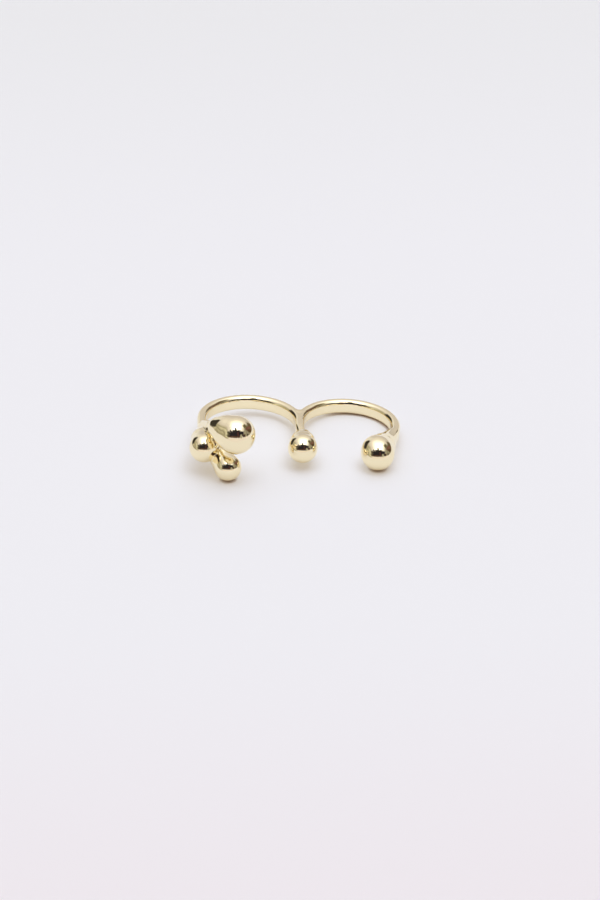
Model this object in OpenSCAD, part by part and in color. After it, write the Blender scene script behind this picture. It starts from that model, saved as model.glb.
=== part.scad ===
// Two-finger open ring, cast and polished in one piece. Units are millimetres.
// Two C-shaped loops stand side by side on one stem. The left arm ends in a
// cluster of three drops, the stem and the right arm end in one drop each.
// It is drawn in the plane of its loops and then laid down as it rests, on the
// lower drop, the right drop and the back of the right loop.

/* [Loops] */
// Inner radius of the left finger loop
left_r = 8.85; // [8.4:0.05:9.4]
// Inner radius of the right finger loop
right_r = 8.7; // [8.4:0.05:9.2]
// Wall of the band, from the finger outwards
band_t = 1.75; // [1.7:0.05:2]
// Width of the band along the finger
band_w = 2.95; // [2.7:0.05:3.2]
// Rounding of the two edges that touch the finger
inner_round = 0.7; // [0.65:0.05:0.75]
// Rounding of the two outer edges
outer_round = 0.7; // [0.65:0.05:0.75]

/* [Arms] */
// How far the left loop runs past half a circle before its arm goes straight
left_turn = 1; // [0.5:0.5:4]
// How far the right loop runs past half a circle before its arm goes straight
right_turn = 18; // [15:0.5:20]
// Straight run of the left arm
left_run = 9.5; // [9:0.1:10]
// Straight run of the right arm
right_run = 8; // [7.7:0.1:8.3]
// Straight run of the stem, from the middle of the loops
stem_run = 9; // [8.5:0.1:9.5]

/* [Drops] */
// Radius of the drop on the left arm
left_drop = 2.86; // [2.8:0.02:3.04]
// Radius of the drop on the stem
stem_drop = 2.9; // [2.76:0.02:3]
// Radius of the drop on the right arm
right_drop = 3.2; // [3.1:0.02:3.26]
// Radius of the swelling behind the right drop
right_back = 2.38; // [2.2:0.02:2.4]
// Radius of the large drop above the left arm
large_drop = 3.78; // [3.6:0.02:3.9]
// Radius of the large drop's neck, which bends down to the left arm
large_neck = 1.15; // [1.05:0.05:1.25]
// Radius of the lower drop, which the ring stands on
lower_drop = 2.64; // [2.5:0.02:2.76]

/* [Rest] */
// Turn about Y that lifts the left end
rest_roll = 3.77; // [3.5:0.01:4]
// Turn about X that lifts the drops
rest_pitch = 5.39; // [5:0.01:5.7]
// Height of the middle of the loops above the surface
rest_lift = 3.213; // [3.1:0.001:3.3]
// Shift that brings the middle of the resting ring over the origin, along X
rest_x = 0.8; // [0.7:0.05:0.9]
// The same along Y
rest_y = 3.7; // [3.6:0.05:3.8]

/* [Hidden] */
gold = [0.86, 0.78, 0.55];
$fn = 96;
// steps in the round head of a drop and in each rounding of the band
head_steps = 12;
edge_steps = 4;
// small fill between the loops, behind the stem: its width and rounding, where it
// starts and ends, and how far it stands proud of the band on each face
web_w = 1.5;
web_round = 0.5;
web_start = 1;
web_end = 4.5;
web_proud = 0.03;

// middle of each loop, and where each arm and the stem end, in the plane of the loops
left_mid = [-left_r - band_t / 2, 0, 0];
right_mid = [right_r + band_t / 2, 0, 0];
left_end = arm_end(left_mid, left_r, 180 + left_turn, left_run, 1);
right_end = arm_end(right_mid, right_r, -right_turn, right_run, -1);
stem_end = [0, -stem_run, 0];

// the drops, of which the large one has its neck in a row of its own: where the arm
// ends, the middles of the drop's head and tip counted from there, the radius of the
// head, the waist's and the tip's radius as shares of it, and how far from head to tip
// the waist is
END = 0;
HEAD = 1;
TIP = 2;
RADIUS = 3;
WAIST_SHARE = 4;
TIP_SHARE = 5;
WAIST_AT = 6;
drops = [
    [left_end, [0.46, -1.26, 0], [-0.07, 4.77, 0.4], left_drop, 0.75, 0.34, 0.5],
    [left_end, [6.31, -5.13, 5], [2.96, -3.31, 5.5], large_drop, 0.85, 0.58, 0.5],
    [left_end, [2.96, -3.31, 5.5], [0.55, 5.67, 1.9], large_neck, 0.92, 0.83, 0.5],
    [left_end, [5.08, -3.93, -2.8], [2.5, 0.6, -1], lower_drop, 0.84, 0.55, 0.5],
    [stem_end, [0.36, -0.7, 0], [0.42, 2.65, 0], stem_drop, 0.9, 0.77, 0.5],
    [right_end, [-1.11, -0.43, -0.05], [2.05, 5.67, 0.6], right_drop, 0.63, 0.26, 0.5],
];
// middle of the swelling behind the right drop
back_mid = right_end + [-0.75, 1.2, 0.95];

// end of an arm that leaves its loop at an angle and then runs straight
function arm_end(mid, r, angle, run, way) =
    mid + (r + band_t / 2) * [cos(angle), sin(angle), 0]
    + run * way * [-sin(angle), cos(angle), 0];

// points of an arc round c from angle a to b
function arc(c, r, a, b, steps) =
    [for (i = [0:steps]) let (g = a + (b - a) * i / steps) c + r * [cos(g), sin(g)]];

// section of the band with its finger side at x = 0
function section(inner, outer, t = band_t, w = band_w) = concat(
    arc([inner, w / 2 - inner], inner, 180, 90, edge_steps),
    arc([t - outer, w / 2 - outer], outer, 90, 0, edge_steps),
    arc([t - outer, outer - w / 2], outer, 0, -90, edge_steps),
    arc([inner, inner - w / 2], inner, -90, -180, edge_steps));

// half outline of a drop: a round head of radius r, a waist of radius m at a share
// of the length and a round tip of radius n
function drop_outline(r, m, n, length, share) =
    let (a = asin((r - m) / (length * share)))
    let (b = asin((m - n) / (length * (1 - share))))
    concat(
        [[0, -r]],
        arc([0, 0], r, -90 + 90 / head_steps, a, head_steps),
        b > a + 2 ? arc([0, length * share], m, a, b, 2) : [],
        arc([0, length], n, b, 90 - 90 / edge_steps, edge_steps),
        [[0, length + n]]);

// one drop, turned from its head to its tip; d is its row in the list of drops
module drop(d)
{
    r = d[RADIUS];
    axis = d[TIP] - d[HEAD];
    length = norm(axis);
    translate(d[END] + d[HEAD])
        rotate([0, acos(axis.z / length), atan2(axis.y, axis.x)])
            rotate_extrude()
                polygon(drop_outline(r, r * d[WAIST_SHARE], r * d[TIP_SHARE], length, d[WAIST_AT]));
}

// swelling behind the right drop, where the arm runs into it
module swelling()
{
    translate(back_mid)
        sphere(right_back);
}

// part of a loop, from one angle to another
module loop(mid, r, from, to)
{
    translate(mid)
        rotate([0, 0, from])
            rotate_extrude(angle = to - from)
                translate([r, 0])
                    polygon(section(inner_round, outer_round));
}

// a loop cut at the middle of the stem, so that the two loops meet in one flat face
module half(mid, r, from, to, way)
{
    difference()
    {
        loop(mid, r, from, to);
        translate([way * band_w, 0, 0])
            cube([2 * band_w, 4 * r, 2 * band_w], center = true);
    }
}

// straight arm that goes on from the end of a loop
module arm(mid, r, angle, run, way)
{
    translate(mid)
        rotate([0, 0, angle])
            translate([r, 0, 0])
                rotate([way * -90, 0, 0])
                    linear_extrude(run)
                        polygon(section(inner_round, outer_round));
}

// stem between the loops, shaped for a finger on both sides
module stem()
{
    translate([-band_t / 2, 0, 0])
        rotate([90, 0, 0])
            linear_extrude(stem_run)
                polygon(section(inner_round, inner_round));
}

// fills the bottom of the notch between the loops
module web()
{
    translate([-web_w / 2, web_end, 0])
        rotate([90, 0, 0])
            linear_extrude(web_end - web_start)
                polygon(section(web_round, web_round, web_w, band_w + 2 * web_proud));
}

module ring()
{
    color(gold)
        union()
        {
            half(left_mid, left_r, 0, 180 + left_turn, 1);
            half(right_mid, right_r, -right_turn, 180, -1);
            arm(left_mid, left_r, 180 + left_turn, left_run, 1);
            arm(right_mid, right_r, -right_turn, right_run, -1);
            stem();
            web();
            for (d = drops)
                drop(d);
            swelling();
        }
}

// lays the ring down as it rests, with the middle of its footprint at the origin
module at_rest()
{
    translate([rest_x, rest_y, rest_lift])
        rotate([0, rest_roll, 0])
            rotate([-rest_pitch, 0, 0])
                children();
}

at_rest() ring();
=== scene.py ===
import itertools
import math

import bpy
import numpy as np
from bpy.props import FloatProperty, FloatVectorProperty, PointerProperty, StringProperty
from mathutils import Matrix, Vector


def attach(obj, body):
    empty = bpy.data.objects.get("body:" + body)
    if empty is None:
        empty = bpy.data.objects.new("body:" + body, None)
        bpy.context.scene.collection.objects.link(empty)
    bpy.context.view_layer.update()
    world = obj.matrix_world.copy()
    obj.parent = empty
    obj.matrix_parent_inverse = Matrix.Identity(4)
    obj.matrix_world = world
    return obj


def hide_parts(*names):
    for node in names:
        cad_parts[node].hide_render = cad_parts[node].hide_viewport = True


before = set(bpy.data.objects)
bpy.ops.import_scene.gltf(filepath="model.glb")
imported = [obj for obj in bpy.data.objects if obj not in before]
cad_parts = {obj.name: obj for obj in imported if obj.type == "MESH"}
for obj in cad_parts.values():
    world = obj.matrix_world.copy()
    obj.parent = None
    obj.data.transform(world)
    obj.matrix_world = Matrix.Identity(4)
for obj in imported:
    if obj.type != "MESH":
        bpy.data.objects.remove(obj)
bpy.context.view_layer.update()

bl_info = {
    "name": "Two-finger open ring",
    "version": (1, 0, 0),
    "blender": (4, 5, 0),
    "location": "3D View > Sidebar > Ring",
    "description": "Builds a polished open ring for two fingers and the studio it lies in",
    "category": "Add Mesh",
}

MM = 0.001


# Sizes and colours that a user would change


def length(name, description, millimetres):
    """A length property, kept in metres as Blender does."""
    return FloatProperty(
        name=name, description=description, default=millimetres * MM,
        unit="LENGTH", subtype="DISTANCE", precision=5,
    )


def angle(name, description, degrees):
    """An angle property."""
    return FloatProperty(
        name=name, description=description, default=math.radians(degrees),
        unit="ROTATION", subtype="ANGLE",
    )


class BandSizes(bpy.types.PropertyGroup):
    left_r: length("Left loop", "Inner radius of the left finger loop", 8.85)
    right_r: length("Right loop", "Inner radius of the right finger loop", 8.7)
    thick: length("Thickness", "Wall of the band, from the finger outwards", 1.78)
    width: length("Width", "Width of the band along the finger", 2.97)
    finger_round: length("Finger edge", "Rounding of the edges on the finger", 0.92)
    outer_round: length("Outer edge", "Rounding of the outer edges", 0.7)
    left_turn: angle("Left turn", "How far the left loop runs past half a circle", 1)
    right_turn: angle("Right turn", "How far the right loop runs past half a circle", 18)
    left_run: length("Left arm", "Straight run of the left arm", 9.5)
    right_run: length("Right arm", "Straight run of the right arm", 8)
    stem_run: length("Stem", "Run of the stem from the middle of the loops", 9)
    neck: length("Stem neck", "Thickness of the stem where it meets its drop", 1.5)
    neck_width: length("Neck width", "Width of the stem where it meets its drop", 2.3)
    neck_shift: length("Neck shift", "How far the neck lies to the right", 0.3)
    notch: length("Notch", "Softness of the notch between the loops", 1.2)


class DropSizes(bpy.types.PropertyGroup):
    left: length("Left drop", "Radius of the drop on the left arm", 2.92)
    large: length("Large drop", "Radius of the large drop above the left arm", 3.78)
    large_neck: length("Large neck", "Radius of the neck that bends down to the arm", 1.15)
    lower: length("Lower drop", "Radius of the drop that the ring stands on", 2.64)
    stem: length("Stem drop", "Radius of the drop on the stem", 2.9)
    right: length("Right drop", "Radius of the drop on the right arm", 3.2)
    right_back: length("Swelling", "Radius of the swelling behind the right drop", 2.55)


class RestPose(bpy.types.PropertyGroup):
    roll: angle("Roll", "Turn about Y that lifts the left end", 3.77)
    pitch: angle("Pitch", "Turn about X that lifts the drops", 5.39)
    place: FloatVectorProperty(
        name="Place", description="Middle of the loops, above the origin",
        default=(0.8 * MM, 3.7 * MM, 3.213 * MM), unit="LENGTH", subtype="TRANSLATION",
    )


class Finish(bpy.types.PropertyGroup):
    plate: StringProperty(
        name="Gold plate", description="sRGB colour that the plate reflects", default="#FCEFCA",
    )
    floor: StringProperty(
        name="Floor", description="sRGB colour of the sheet round the ring", default="#C6D0E0",
    )
    floor_near: StringProperty(
        name="Near floor", description="sRGB colour of the sheet towards the camera",
        default="#C5C8D9",
    )
    floor_far: StringProperty(
        name="Far floor", description="sRGB colour of the sheet far away", default="#BFCAD8",
    )
    # painted contact shadow: a brown that stands in for the shade and the gold's reflected light
    # where the ring touches the sheet
    painted_contact_shade: StringProperty(
        name="Contact floor", description="sRGB colour of the sheet where the ring touches it",
        default="#A0744C",
    )
    # painted fill light: the sheet glows by itself, with no lamp under it, to lighten the shadows
    # round the ring
    fill_glow: StringProperty(
        name="Light from below", description="sRGB colour that shines through the sheet",
        default="#FFE8CC",
    )
    fill_glow_strength: FloatProperty(
        name="Strength from below", description="Light through the sheet",
        default=0.32, subtype="FACTOR",
    )
    contact: length("Contact", "How near the ring has to be to darken the sheet", 0.6)
    cell: length("Mesh cell", "Size of the mesh's faces", 0.15)


class Studio(bpy.types.PropertyGroup):
    target: FloatVectorProperty(
        name="Target", description="Point in the middle of the picture",
        default=(0.705 * MM, -5.209 * MM, 3.2 * MM), unit="LENGTH", subtype="TRANSLATION",
    )
    azimuth: angle("Azimuth", "Camera's turn round the ring from the front", -1.22)
    elevation: angle("Elevation", "Camera's height above the floor", 32.9)
    camera_roll: angle("Camera roll", "Camera's tilt", -0.41)
    distance: length("Distance", "From the camera to the target", 490.5)
    lens: FloatProperty(
        name="Lens", description="Focal length in millimetres",
        default=100, subtype="DISTANCE_CAMERA",
    )
    floor_size: length("Floor size", "Side of the sheet", 3000)


# Fields of distance to the metal, in millimetres, in the plane of the loops

# Where the stem starts to narrow and where it is at its narrowest, from the middle of the loops
STEM_TAPER = (1.5, 6)
# Where the notch between the loops starts to soften, and where it is at its softest
NOTCH_SOFTENS = (2.2, 4.2)
NOTCH_LEAST = 0.01
# Wall of the solid's band, on the middle of which the drops are placed
SOLID_WALL = 1.75
# Distance where a loop isn't cut off, which is deeper in the metal than any point is
NOT_CUT = -99


def smooth_union(one, other, soft):
    """Distance to two forms that run into each other over a soft width."""
    share = np.clip(0.5 + 0.5 * (other - one) / soft, 0, 1)
    return other + (one - other) * share - soft * share * (1 - share)


def smooth_step(value, start, end):
    """0 before start, 1 after end, and smooth between them."""
    share = np.clip((value - start) / (end - start), 0, 1)
    return share * share * (3 - 2 * share)


def section_distance(out, up, thick, width, finger_round, outer_round):
    """Distance to the band's section: out from the middle of its wall, up along the finger."""
    edge = np.where(out > 0, outer_round, finger_round)
    across = np.abs(out) - thick / 2 + edge
    along = np.abs(up) - width / 2 + edge
    beyond = np.hypot(np.maximum(across, 0), np.maximum(along, 0))
    return np.minimum(np.maximum(across, along), 0) + beyond - edge


def band_distance(points, sizes, inner, turn, run, side):
    """Distance to one loop with its arm and the stem; side is 1 for the left loop."""
    x, y, up = points.T
    mid = inner + sizes.thick / MM / 2
    x = x * side + mid
    finish = math.pi + turn
    end = mid * np.array([math.cos(finish), math.sin(finish)])
    outwards = end / mid
    onwards = np.array([-outwards[1], outwards[0]])
    along_arm = (x - end[0]) * onwards[0] + (y - end[1]) * onwards[1]
    from_arm = (x - end[0]) * outwards[0] + (y - end[1]) * outwards[1]
    on_stem = (y < 0) & (x > 0)
    on_arm = ~on_stem & (along_arm > 0) & (x < 0) & (y < 0)
    neck = smooth_step(-y, *STEM_TAPER) * on_stem
    shift = neck * sizes.neck_shift / MM * side
    out = np.where(on_stem, x - mid - shift, np.where(on_arm, from_arm, np.hypot(x, y) - mid))
    thick = sizes.thick / MM - neck * (sizes.thick - sizes.neck) / MM
    width = sizes.width / MM - neck * (sizes.width - sizes.neck_width) / MM
    wall = section_distance(out, up, thick, width, sizes.finger_round / MM, sizes.outer_round / MM)
    past_arm = np.where(on_arm, along_arm - run, NOT_CUT)
    past = np.where(on_stem, -y - sizes.stem_run / MM, past_arm)
    return np.maximum(wall, past)


def cone_distance(points, head, tip, head_r, tip_r):
    """Distance to a round cone, which is two balls and the cone that touches both."""
    span = np.linalg.norm(tip - head)
    away = points - head
    along = away @ ((tip - head) / span)
    beside = np.sqrt(np.maximum((away * away).sum(axis=1) - along * along, 0))
    lean = (head_r - tip_r) / span
    upright = math.sqrt(1 - lean * lean)
    where = upright * along - lean * beside
    side = upright * beside + lean * along - head_r
    at_head = np.hypot(beside, along) - head_r
    at_tip = np.hypot(beside, along - span) - tip_r
    return np.where(where < 0, at_head, np.where(where > upright * span, at_tip, side))


def drop_distance(points, drop, end, radius):
    """Distance to one drop, from its round head over its waist to its tip."""
    head = end + drop["head"]
    tip = end + drop["tip"]
    waist = head + (tip - head) * drop["waist_at"]
    waist_r = radius * drop["waist_r"]
    body = cone_distance(points, head, waist, radius, waist_r)
    neck = cone_distance(points, waist, tip, waist_r, radius * drop["tip_r"])
    return smooth_union(body, neck, drop["soft"])


# Each drop: the arm it sits on, its head and tip counted from the end of that arm in
# millimetres, its waist and tip as shares of its radius, where the waist is, and the
# softness of its waist and of its joint with the rest of the ring
DROPS = (
    {"name": "left", "arm": "left", "head": (0.4, -1.26, 0), "tip": (-0.07, 4.77, 0.4),
     "waist_r": 0.8, "tip_r": 0.36, "waist_at": 0.5, "soft": 0.4, "joint": 0.45},
    {"name": "large", "arm": "left", "head": (6.31, -5.13, 5), "tip": (2.96, -3.31, 5.5),
     "waist_r": 0.79, "tip_r": 0.56, "waist_at": 0.5, "soft": 0.8, "joint": 0.3},
    {"name": "large_neck", "arm": "left", "head": (2.96, -3.31, 5.5), "tip": (0.3, 5.4, 1.6),
     "waist_r": 0.92, "tip_r": 0.83, "waist_at": 0.5, "soft": 0.4, "joint": 0.5},
    {"name": "lower", "arm": "left", "head": (5.08, -3.93, -2.8), "tip": (2.5, 0.6, -1),
     "waist_r": 0.84, "tip_r": 0.55, "waist_at": 0.5, "soft": 0.4, "joint": 0.25},
    {"name": "stem", "arm": "stem", "head": (0.36, -0.7, 0), "tip": (0.42, 2.65, 0),
     "waist_r": 0.9, "tip_r": 0.77, "waist_at": 0.5, "soft": 0.4, "joint": 0.5},
    {"name": "right", "arm": "right", "head": (-1.11, -0.43, -0.05), "tip": (1.79, 5.67, 0.1),
     "waist_r": 0.64, "tip_r": 0.3, "waist_at": 0.5, "soft": 0.4, "joint": 0.8},
)
# The swelling behind the right drop, from its round end to where it runs out on the
# arm, counted from the end of the arm in millimetres, and the radius there as a share
SWELLING = {"head": (-1.43, 0.79, 0.52), "tip": (1.6, 7.5, 0), "tip_r": 0.4, "joint": 1.6}


def arm_ends(sizes):
    """Where the two arms and the stem end."""
    ends = {"stem": np.array([0, -sizes.stem_run / MM, 0])}
    for name, side, inner, turn, run in (
        ("left", 1, sizes.left_r, sizes.left_turn, sizes.left_run),
        ("right", -1, sizes.right_r, sizes.right_turn, sizes.right_run),
    ):
        mid = inner / MM + SOLID_WALL / 2
        finish = math.pi + turn
        x = -mid + mid * math.cos(finish) - run / MM * math.sin(finish)
        y = mid * math.sin(finish) + run / MM * math.cos(finish)
        ends[name] = np.array([x * side, y, 0])
    return ends


def ring_distance(points, band, drops):
    """Distance to the whole ring, which is one piece of metal."""
    left = band_distance(points, band, band.left_r / MM, band.left_turn, band.left_run / MM, 1)
    right = band_distance(points, band, band.right_r / MM, band.right_turn, band.right_run / MM, -1)
    notch = NOTCH_LEAST + band.notch / MM * smooth_step(points[:, 1], *NOTCH_SOFTENS)
    metal = smooth_union(left, right, notch)
    ends = arm_ends(band)
    for drop in DROPS:
        radius = getattr(drops, drop["name"]) / MM
        body = drop_distance(points, drop, ends[drop["arm"]], radius)
        metal = smooth_union(metal, body, drop["joint"])
    radius = drops.right_back / MM
    swelling = cone_distance(
        points, ends["right"] + SWELLING["head"], ends["right"] + SWELLING["tip"],
        radius, radius * SWELLING["tip_r"],
    )
    return smooth_union(metal, swelling, SWELLING["joint"])


# Mesh of a field

# How often the points are evened out, and how often they are brought onto the surface after that
EVENING_ROUNDS = 3
CLOSING_ROUNDS = 2


def net_of(field, low, high, cell):
    """Corners and quads of a field's zero surface, with one corner in each grid cell it crosses."""
    counts = np.ceil((high - low) / cell).astype(int) + 1
    xs, ys, zs = (low[i] + cell * np.arange(counts[i]) for i in range(3))
    slice_yz = np.stack(np.meshgrid(ys, zs, indexing="ij"), axis=-1).reshape(-1, 2)
    values = np.empty(counts)
    for i, x in enumerate(xs):
        points = np.column_stack([np.full(len(slice_yz), x), slice_yz])
        values[i] = field(points).reshape(counts[1:])
    inside = values < 0
    corners = np.array(list(itertools.product((0, 1), repeat=3)))
    held = sum(
        inside[a:counts[0] - 1 + a, b:counts[1] - 1 + b, c:counts[2] - 1 + c].astype(int)
        for a, b, c in corners
    )
    crossed = (held > 0) & (held < 8)
    cells = np.argwhere(crossed)
    at_corners = values[tuple((cells[:, None, :] + corners).transpose(2, 0, 1))]
    total = np.zeros((len(cells), 3))
    hits = np.zeros(len(cells))
    for a, b in itertools.combinations(range(8), 2):
        if np.abs(corners[a] - corners[b]).sum() != 1:
            continue
        first, second = at_corners[:, a], at_corners[:, b]
        crosses = (first < 0) != (second < 0)
        share = first[crosses] / (first[crosses] - second[crosses])
        total[crosses] += corners[a] + share[:, None] * (corners[b] - corners[a])
        hits += crosses
    points = low + cell * (cells + total / hits[:, None])
    number = np.full(crossed.shape, -1)
    number[crossed] = np.arange(len(cells))
    quads = []
    steps = np.eye(3, dtype=int)
    for axis in range(3):
        one, two = steps[(axis + 1) % 3], steps[(axis + 2) % 3]
        turned = np.diff(inside.astype(int), axis=axis)
        for sign, order in ((-1, (0, 1, 2, 3)), (1, (3, 2, 1, 0))):
            at = np.argwhere(turned == sign)
            round_edge = [at - one - two, at - two, at, at - one]
            quads.append(np.stack([number[tuple(round_edge[k].T)] for k in order], axis=1))
    return points, np.concatenate(quads)


def slope_of(field, points, step=0.004):
    """Direction in which the field grows fastest, of length 1."""
    slope = np.empty_like(points)
    for axis in range(3):
        move = np.zeros(3)
        move[axis] = step
        slope[:, axis] = field(points + move) - field(points - move)
    return slope / np.linalg.norm(slope, axis=1)[:, None]


def onto_surface(field, points, rounds):
    """Moves points along the slope until they lie on the zero surface."""
    for _ in range(rounds):
        points = points - field(points)[:, None] * slope_of(field, points)
    return points


def evened(points, quads):
    """Each point half way to the middle of its neighbours."""
    total = np.zeros_like(points)
    count = np.zeros(len(points))
    for a, b in ((0, 1), (1, 2), (2, 3), (3, 0), (1, 0), (2, 1), (3, 2), (0, 3)):
        for axis in range(3):
            total[:, axis] += np.bincount(quads[:, a], points[quads[:, b], axis], len(points))
        count += np.bincount(quads[:, a], minlength=len(points))
    return (points + total / count[:, None]) / 2


def smooth_mesh(name, field, low, high, cell, place):
    """A mesh of the field's surface with its exact normals, moved to its place."""
    points, quads = net_of(field, low, high, cell)
    for _ in range(EVENING_ROUNDS):
        points = onto_surface(field, evened(points, quads), 1)
    points = onto_surface(field, points, CLOSING_ROUNDS)
    normals = slope_of(field, points)
    mesh = bpy.data.meshes.new(name)
    mesh.from_pydata((points * MM).tolist(), [], quads.tolist())
    mesh.update()
    mesh.shade_smooth()
    mesh.normals_split_custom_set_from_vertices(normals.tolist())
    mesh.transform(place)
    mesh.update()
    return mesh


# Materials

# Sizes in metres of the waves left by casting, the marks of the polishing mop and the matt
# grain of the sheet. Real marks and grain are too fine to show, so they are drawn this coarse
CASTING_WAVES = 2.6 * MM
CASTING_DEPTH = 0.03 * MM
POLISHING_MARKS = 0.25 * MM
SHEET_GRAIN = 0.8 * MM
GRAIN_DEPTH = 0.02 * MM
# Roughness of the mirror between and in the marks
MIRROR_ROUGH = (0.04, 0.07)
# Where the sheet turns to its near and its far colour
NEAR_FLOOR = (-50 * MM, -150 * MM)
FAR_FLOOR = (50 * MM, 260 * MM)


def linear(colour):
    """Linear RGBA of an sRGB hex colour."""
    channels = [int(colour[i:i + 2], 16) / 255 for i in (1, 3, 5)]
    return (*[c / 12.92 if c <= 0.04045 else ((c + 0.055) / 1.055) ** 2.4 for c in channels], 1)


def add_node(tree, kind, settings=None, inputs=None):
    """Adds a node with its settings. Each input is a value or the output that it is linked to."""
    node = tree.nodes.new(kind)
    for name, value in (settings or {}).items():
        setattr(node, name, value)
    for socket, value in (inputs or {}).items():
        if isinstance(value, bpy.types.NodeSocket):
            tree.links.new(value, node.inputs[socket])
        else:
            node.inputs[socket].default_value = value
    return node


def new_material(name):
    """An empty node material and its tree."""
    material = bpy.data.materials.new(name)
    material.use_nodes = True
    material.node_tree.nodes.clear()
    return material, material.node_tree


def polished_gold_plate(colour):
    """Polished pale gold plate on cast brass: a bright mirror, a little uneven where a mop has
    worked on the casting, with hair-fine polishing marks."""
    material, tree = new_material("polished_gold_plate")
    place = add_node(tree, "ShaderNodeTexCoord").outputs["Object"]
    casting, marks = (
        add_node(
            tree, "ShaderNodeTexNoise",
            inputs={"Vector": place, "Scale": 1 / size, "Detail": detail},
        ).outputs["Fac"]
        for size, detail in ((CASTING_WAVES, 1.0), (POLISHING_MARKS, 2.0))
    )
    rough = add_node(
        tree, "ShaderNodeMapRange",
        inputs={
            "Value": marks, "From Min": 0.3, "From Max": 0.7,
            "To Min": MIRROR_ROUGH[0], "To Max": MIRROR_ROUGH[1],
        },
    )
    uneven = add_node(
        tree, "ShaderNodeBump",
        inputs={"Strength": 0.25, "Distance": CASTING_DEPTH, "Height": casting},
    )
    shader = add_node(
        tree, "ShaderNodeBsdfPrincipled",
        inputs={
            "Base Color": linear(colour), "Metallic": 1.0,
            "Roughness": rough.outputs["Result"], "Normal": uneven.outputs["Normal"],
        },
    )
    add_node(tree, "ShaderNodeOutputMaterial", inputs={"Surface": shader.outputs["BSDF"]})
    return material


def milk_acrylic(finish):
    """Matt milk-white acrylic sheet with a painted warm glow that lightens its shadows as fill
    light would, and a painted brown contact shadow where the ring nears it: flat and pale, with
    light shadows, a little pinker towards the camera and a little greyer far away."""
    material, tree = new_material("milk_acrylic")
    place = add_node(tree, "ShaderNodeTexCoord").outputs["Object"]
    depth = add_node(tree, "ShaderNodeSeparateXYZ", inputs={"Vector": place}).outputs["Y"]
    tone = linear(finish.floor)
    for colour, (start, end) in ((finish.floor_near, NEAR_FLOOR), (finish.floor_far, FAR_FLOOR)):
        share = add_node(
            tree, "ShaderNodeMapRange", {"interpolation_type": "SMOOTHSTEP"},
            {"Value": depth, "From Min": start, "From Max": end},
        ).outputs["Result"]
        tone = add_node(
            tree, "ShaderNodeMix", {"data_type": "RGBA"},
            {"Factor": share, "A": tone, "B": linear(colour)},
        ).outputs["Result"]
    grain = add_node(
        tree, "ShaderNodeTexNoise",
        inputs={"Vector": place, "Scale": 1 / SHEET_GRAIN, "Detail": 3.0},
    )
    bump = add_node(
        tree, "ShaderNodeBump",
        inputs={"Strength": 0.05, "Distance": GRAIN_DEPTH, "Height": grain.outputs["Fac"]},
    )
    # painted contact shadow and painted gold reflection: near the ring the sheet's colour turns
    # brown and its glow is dimmed
    open_above = add_node(
        tree, "ShaderNodeAmbientOcclusion", {"samples": 1}, {"Distance": finish.contact},
    ).outputs["AO"]
    tone = add_node(
        tree, "ShaderNodeMix", {"data_type": "RGBA"},
        {"Factor": open_above, "A": linear(finish.painted_contact_shade), "B": tone},
    ).outputs["Result"]
    # painted fill light: the sheet's own glow, dimmed near the ring as painted contact shade
    shining = add_node(
        tree, "ShaderNodeMath", {"operation": "MULTIPLY"}, {0: open_above, 1: finish.fill_glow_strength},
    )
    shader = add_node(
        tree, "ShaderNodeBsdfPrincipled",
        inputs={
            "Base Color": tone, "Roughness": 0.9, "Specular IOR Level": 0.2,
            "Normal": bump.outputs["Normal"], "Emission Color": linear(finish.fill_glow),
            "Emission Strength": shining.outputs["Value"],
        },
    )
    add_node(tree, "ShaderNodeOutputMaterial", inputs={"Surface": shader.outputs["BSDF"]})
    return material


# Studio


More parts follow.
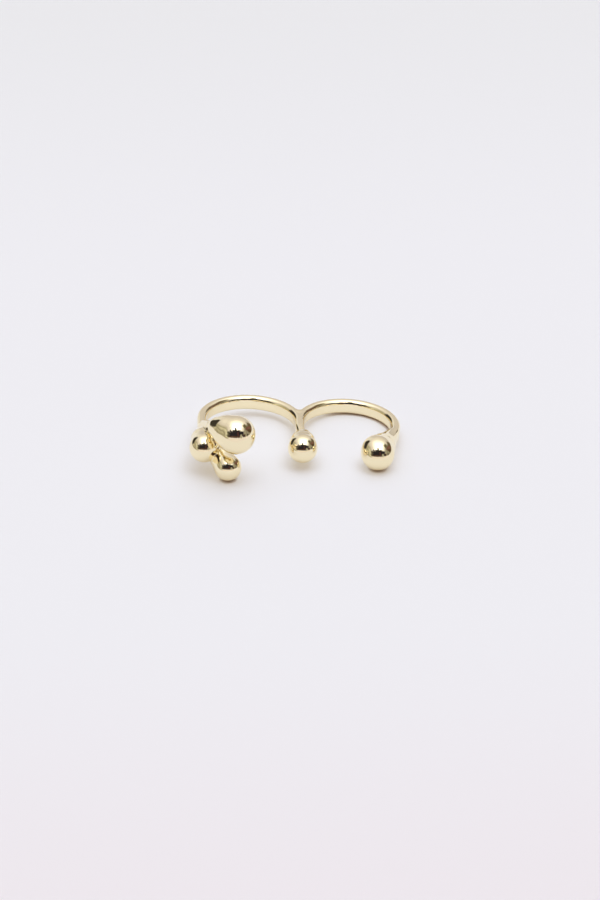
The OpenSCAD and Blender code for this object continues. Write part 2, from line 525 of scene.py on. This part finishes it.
# What stands round the ring, from the back layer to the front one. Side is the angle to the
# right of the middle plane, and pitch goes from the front horizon (0) over the zenith (90) to
# the back one (180). Soft is how soft the edges are, left, right, low and high, and uneven is
# how far they stray, all in degrees
ROOM = (
    {"name": "left wall", "sides": (-110, -47), "pitches": (-20, 172), "soft": (1, 16, 20, 16),
     "light": (0.43, 0.40, 0.31), "uneven": 4},
    {"name": "pale corner", "sides": (-34, -13), "pitches": (148, 182), "soft": (6, 12, 20, 1),
     "light": (0.80, 0.79, 0.80), "uneven": 4},
    {"name": "right wall", "sides": (46, 110), "pitches": (12, 176), "soft": (14, 1, 8, 10),
     "light": (0.33, 0.31, 0.25), "uneven": 8},
    {"name": "glow", "sides": (-31, 40), "pitches": (52, 131), "soft": (32, 14, 12, 56),
     "light": (0.98, 0.98, 0.98), "uneven": 6},
    {"name": "soft light", "sides": (-22, 31), "pitches": (62, 110), "soft": (30, 16, 8, 52),
     "light": (2.0, 2.0, 2.02), "uneven": 6},
    {"name": "lamp", "sides": (-8, 24), "pitches": (62, 94), "soft": (16, 12, 8, 20),
     "light": (4.0, 4.0, 4.1), "uneven": 3},
    {"name": "back panel", "sides": (-66, -31), "pitches": (136, 182), "soft": (10, 6, 8, 1),
     "light": (0.045, 0.04, 0.035), "uneven": 6},
    {"name": "pale upright", "sides": (-62, -52), "pitches": (12, 92), "soft": (8, 4, 4, 40),
     "light": (0.70, 0.68, 0.54), "uneven": 4},
    {"name": "dark end", "sides": (-50, 45), "pitches": (17, 59), "soft": (7, 7, 3, 8),
     "light": (0.025, 0.022, 0.028), "uneven": 26},
    {"name": "left shade", "sides": (-53, -38), "pitches": (17, 56), "soft": (8, 8, 4, 8),
     "light": (0.10, 0.09, 0.07), "uneven": 18},
    {"name": "red shade", "sides": (9, 17), "pitches": (26, 48), "soft": (4, 4, 6, 10),
     "light": (0.08, 0.035, 0.035), "uneven": 8},
    {"name": "brown edge", "sides": (-46, 26), "pitches": (14, 24), "soft": (8, 8, 2, 9),
     "light": (0.10, 0.06, 0.045), "uneven": 8},
    {"name": "pale gap", "sides": (26, 37), "pitches": (9, 33), "soft": (5, 5, 2, 6),
     "light": (0.42, 0.40, 0.33), "uneven": 5},
    {"name": "dark upright", "sides": (42, 58), "pitches": (11, 36), "soft": (6, 8, 3, 12),
     "light": (0.06, 0.035, 0.025), "uneven": 12},
    {"name": "dark notch", "sides": (-6, 4), "pitches": (52, 77), "soft": (4, 4, 2, 8),
     "light": (0.04, 0.045, 0.035), "uneven": 0},
    {"name": "green shade", "sides": (38, 52), "pitches": (87, 122), "soft": (7, 6, 14, 14),
     "light": (0.14, 0.12, 0.06), "uneven": 14},
    {"name": "back shade", "sides": (38, 64), "pitches": (142, 182), "soft": (8, 8, 14, 1),
     "light": (0.15, 0.12, 0.08), "uneven": 10},
    {"name": "red upright", "sides": (54, 68), "pitches": (80, 166), "soft": (6, 6, 16, 14),
     "light": (0.16, 0.085, 0.07), "uneven": 8},
    {"name": "brown upright", "sides": (66, 80), "pitches": (86, 179), "soft": (6, 7, 10, 2),
     "light": (0.08, 0.05, 0.03), "uneven": 5},
    {"name": "dark corner", "sides": (68, 79), "pitches": (18, 46), "soft": (6, 5, 6, 10),
     "light": (0.07, 0.06, 0.045), "uneven": 5},
)
# Light of the room behind those, at pitches from the front horizon to the back one
WALL_LIGHT = ((0, 0.88), (50, 0.8), (140, 0.73), (165, 0.64), (180, 0.56))
# Share of red, green and blue in that light, which is a little pink
WALL_TINT = (1, 0.94, 0.96)
# Uprights on the walls at both sides: how wide they are and between which angles from the
# middle plane they start, in degrees, and how much they lighten and darken
UPRIGHT_WIDTH = 7.0
UPRIGHT_START = (40, 60)
UPRIGHT_DEPTH = 0.9


def patch(tree, ways, thing):
    """1 in a patch of the room and 0 outside it. Ways are the side and the pitch in degrees."""
    mask = 1.0
    limits = (*thing["sides"], *thing["pitches"])
    for number, (limit, soft) in enumerate(zip(limits, thing["soft"])):
        half = soft / 2 if number % 2 == 0 else -soft / 2
        edge = add_node(
            tree, "ShaderNodeMapRange", {"interpolation_type": "SMOOTHSTEP"},
            {"Value": ways[number // 2], "From Min": limit - half, "From Max": limit + half},
        ).outputs["Result"]
        mask = add_node(
            tree, "ShaderNodeMath", {"operation": "MULTIPLY"}, {0: mask, 1: edge},
        ).outputs["Value"]
    return mask


def wall_strength(tree, side, pitch):
    """Strength of the room's light, which uprights on its side walls make uneven."""
    across = add_node(
        tree, "ShaderNodeMath", {"operation": "DIVIDE"}, {0: side, 1: UPRIGHT_WIDTH},
    )
    upwards = add_node(tree, "ShaderNodeMath", {"operation": "DIVIDE"}, {0: pitch, 1: 90.0})
    along = add_node(
        tree, "ShaderNodeCombineXYZ",
        inputs={"X": across.outputs["Value"], "Y": upwards.outputs["Value"]},
    )
    uprights = add_node(
        tree, "ShaderNodeTexNoise",
        inputs={"Vector": along.outputs["Vector"], "Scale": 1.0, "Detail": 1.0},
    )
    from_middle = add_node(tree, "ShaderNodeMath", {"operation": "ABSOLUTE"}, {0: side})
    at_sides = add_node(
        tree, "ShaderNodeMapRange", {"interpolation_type": "SMOOTHSTEP"},
        {
            "Value": from_middle.outputs["Value"],
            "From Min": UPRIGHT_START[0], "From Max": UPRIGHT_START[1],
            "To Max": 2 * UPRIGHT_DEPTH,
        },
    )
    swing = add_node(
        tree, "ShaderNodeMath", {"operation": "SUBTRACT"}, {0: uprights.outputs["Fac"], 1: 0.5},
    )
    return add_node(
        tree, "ShaderNodeMath", {"operation": "MULTIPLY_ADD"},
        {0: swing.outputs["Value"], 1: at_sides.outputs["Result"], 2: 1.0},
    ).outputs["Value"]


def make_room():
    """A pale room with a soft light overhead, a dark end in front of the ring and mixed sides."""
    world = bpy.data.worlds.new("room")
    bpy.context.scene.world = world
    world.use_nodes = True
    tree = world.node_tree
    tree.nodes.clear()
    way = add_node(tree, "ShaderNodeTexCoord").outputs["Generated"]
    axes = add_node(tree, "ShaderNodeSeparateXYZ", inputs={"Vector": way})
    front = add_node(
        tree, "ShaderNodeMath", {"operation": "MULTIPLY"}, {0: axes.outputs["Y"], 1: -1.0},
    )
    turns = (
        add_node(tree, "ShaderNodeMath", {"operation": "ARCSINE"}, {0: axes.outputs["X"]}),
        add_node(
            tree, "ShaderNodeMath", {"operation": "ARCTAN2"},
            {0: axes.outputs["Z"], 1: front.outputs["Value"]},
        ),
    )
    side, pitch = (
        add_node(
            tree, "ShaderNodeMath", {"operation": "DEGREES"}, {0: turn.outputs["Value"]},
        ).outputs["Value"]
        for turn in turns
    )
    ragged = add_node(
        tree, "ShaderNodeTexNoise", inputs={"Vector": way, "Scale": 6.0, "Detail": 4.0},
    )
    shifts = add_node(
        tree, "ShaderNodeSeparateColor", inputs={"Color": ragged.outputs["Color"]},
    )
    across, upwards = (
        add_node(
            tree, "ShaderNodeMath", {"operation": "SUBTRACT"}, {0: shifts.outputs[name], 1: 0.5},
        ).outputs["Value"]
        for name in ("Red", "Green")
    )
    along = add_node(tree, "ShaderNodeMath", {"operation": "DIVIDE"}, {0: pitch, 1: 180.0})
    ramp = add_node(tree, "ShaderNodeValToRGB", inputs={"Fac": along.outputs["Value"]})
    stops = ramp.color_ramp.elements
    for _ in WALL_LIGHT[2:]:
        stops.new(0.5)
    for stop, (place, light) in zip(stops, WALL_LIGHT):
        stop.position = place / 180
        stop.color = (*[light * share for share in WALL_TINT], 1)
    colour = ramp.outputs["Color"]
    for thing in ROOM:
        ways = [
            add_node(
                tree, "ShaderNodeMath", {"operation": "MULTIPLY_ADD"},
                {0: shift, 1: 2.0 * thing["uneven"], 2: turn},
            ).outputs["Value"]
            for shift, turn in ((across, side), (upwards, pitch))
        ]
        colour = add_node(
            tree, "ShaderNodeMix", {"data_type": "RGBA"},
            {"Factor": patch(tree, ways, thing), "A": colour, "B": (*thing["light"], 1)},
        ).outputs["Result"]
    light = add_node(
        tree, "ShaderNodeBackground",
        inputs={"Color": colour, "Strength": wall_strength(tree, side, pitch)},
    )
    add_node(tree, "ShaderNodeOutputWorld", inputs={"Surface": light.outputs["Background"]})


# Pieces


def link_object(name, data):
    """An object of that data in the scene."""
    thing = bpy.data.objects.new(name, data)
    bpy.context.scene.collection.objects.link(thing)
    return thing


# Opposite corners of the box that the ring is meshed in, in the plane of the loops
MESH_LOW = (-22.6, -19.5, -6.6)
MESH_HIGH = (20.9, 11.6, 9.6)


class RING_OT_metal(bpy.types.Operator):
    """Build the ring's metal: two loops, stem and drops in one polished piece"""

    bl_idname = "ring.metal"
    bl_label = "Ring"

    def execute(self, context):
        scene = context.scene
        pose = scene.ring_pose
        place = (
            Matrix.Translation(pose.place)
            @ Matrix.Rotation(pose.roll, 4, "Y")
            @ Matrix.Rotation(-pose.pitch, 4, "X")
        )

        def field(points):
            return ring_distance(points, scene.ring_band, scene.ring_drops)

        low, high = np.array(MESH_LOW), np.array(MESH_HIGH)
        mesh = smooth_mesh("ring_metal", field, low, high, scene.ring_finish.cell / MM, place)
        if not mesh.polygons:
            raise RuntimeError("the ring's surface is empty")
        ring = link_object("ring_metal", mesh)
        mesh.materials.append(polished_gold_plate(scene.ring_finish.plate))
        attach(ring, "root")
        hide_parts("ring")
        return {"FINISHED"}


class RING_OT_stage(bpy.types.Operator):
    """Build the floor, the room with its soft light and the camera"""

    bl_idname = "ring.stage"
    bl_label = "Stage"

    def execute(self, context):
        scene = context.scene
        studio = scene.ring_studio
        half = studio.floor_size / 2
        sheet = bpy.data.meshes.new("sheet_floor")
        corners = [(-half, -half, 0), (half, -half, 0), (half, half, 0), (-half, half, 0)]
        sheet.from_pydata(corners, [], [(0, 1, 2, 3)])
        floor = link_object("sheet_floor", sheet)
        sheet.materials.append(milk_acrylic(scene.ring_finish))
        make_room()
        back = Vector((
            math.sin(studio.azimuth) * math.cos(studio.elevation),
            -math.cos(studio.azimuth) * math.cos(studio.elevation),
            math.sin(studio.elevation),
        ))
        lens = bpy.data.cameras.new("camera")
        lens.lens = studio.lens
        lens.clip_start = 0.01
        camera = link_object("camera", lens)
        turn = (-back).to_track_quat("-Z", "Y").to_matrix().to_4x4()
        camera.matrix_world = (
            Matrix.Translation(Vector(studio.target) + back * studio.distance)
            @ turn
            @ Matrix.Rotation(studio.camera_roll, 4, "Z")
        )
        scene.camera = camera
        scene.view_settings.view_transform = "Standard"
        return {"FINISHED"}


class RING_PT_sidebar(bpy.types.Panel):
    """Lists the ring's sizes and the steps that build it"""

    bl_label = "Two-finger open ring"
    bl_idname = "RING_PT_sidebar"
    bl_space_type = "VIEW_3D"
    bl_region_type = "UI"
    bl_category = "Ring"

    def draw(self, context):
        column = self.layout.column()
        for group in PROPERTY_GROUPS:
            for name in group.__annotations__:
                column.prop(getattr(context.scene, PROPERTY_GROUPS[group]), name)
        for operator in OPERATORS:
            column.operator(operator.bl_idname)


PROPERTY_GROUPS = {
    BandSizes: "ring_band",
    DropSizes: "ring_drops",
    RestPose: "ring_pose",
    Finish: "ring_finish",
    Studio: "ring_studio",
}
OPERATORS = (RING_OT_metal, RING_OT_stage)


def register():
    for group, name in PROPERTY_GROUPS.items():
        bpy.utils.register_class(group)
        setattr(bpy.types.Scene, name, PointerProperty(type=group))
    for kind in (*OPERATORS, RING_PT_sidebar):
        bpy.utils.register_class(kind)


def unregister():
    for kind in (RING_PT_sidebar, *OPERATORS):
        bpy.utils.unregister_class(kind)
    for group, name in PROPERTY_GROUPS.items():
        delattr(bpy.types.Scene, name)
        bpy.utils.unregister_class(group)


def main():
    register()
    bpy.ops.ring.metal()
    bpy.ops.ring.stage()


if __name__ == "__main__":
    main()
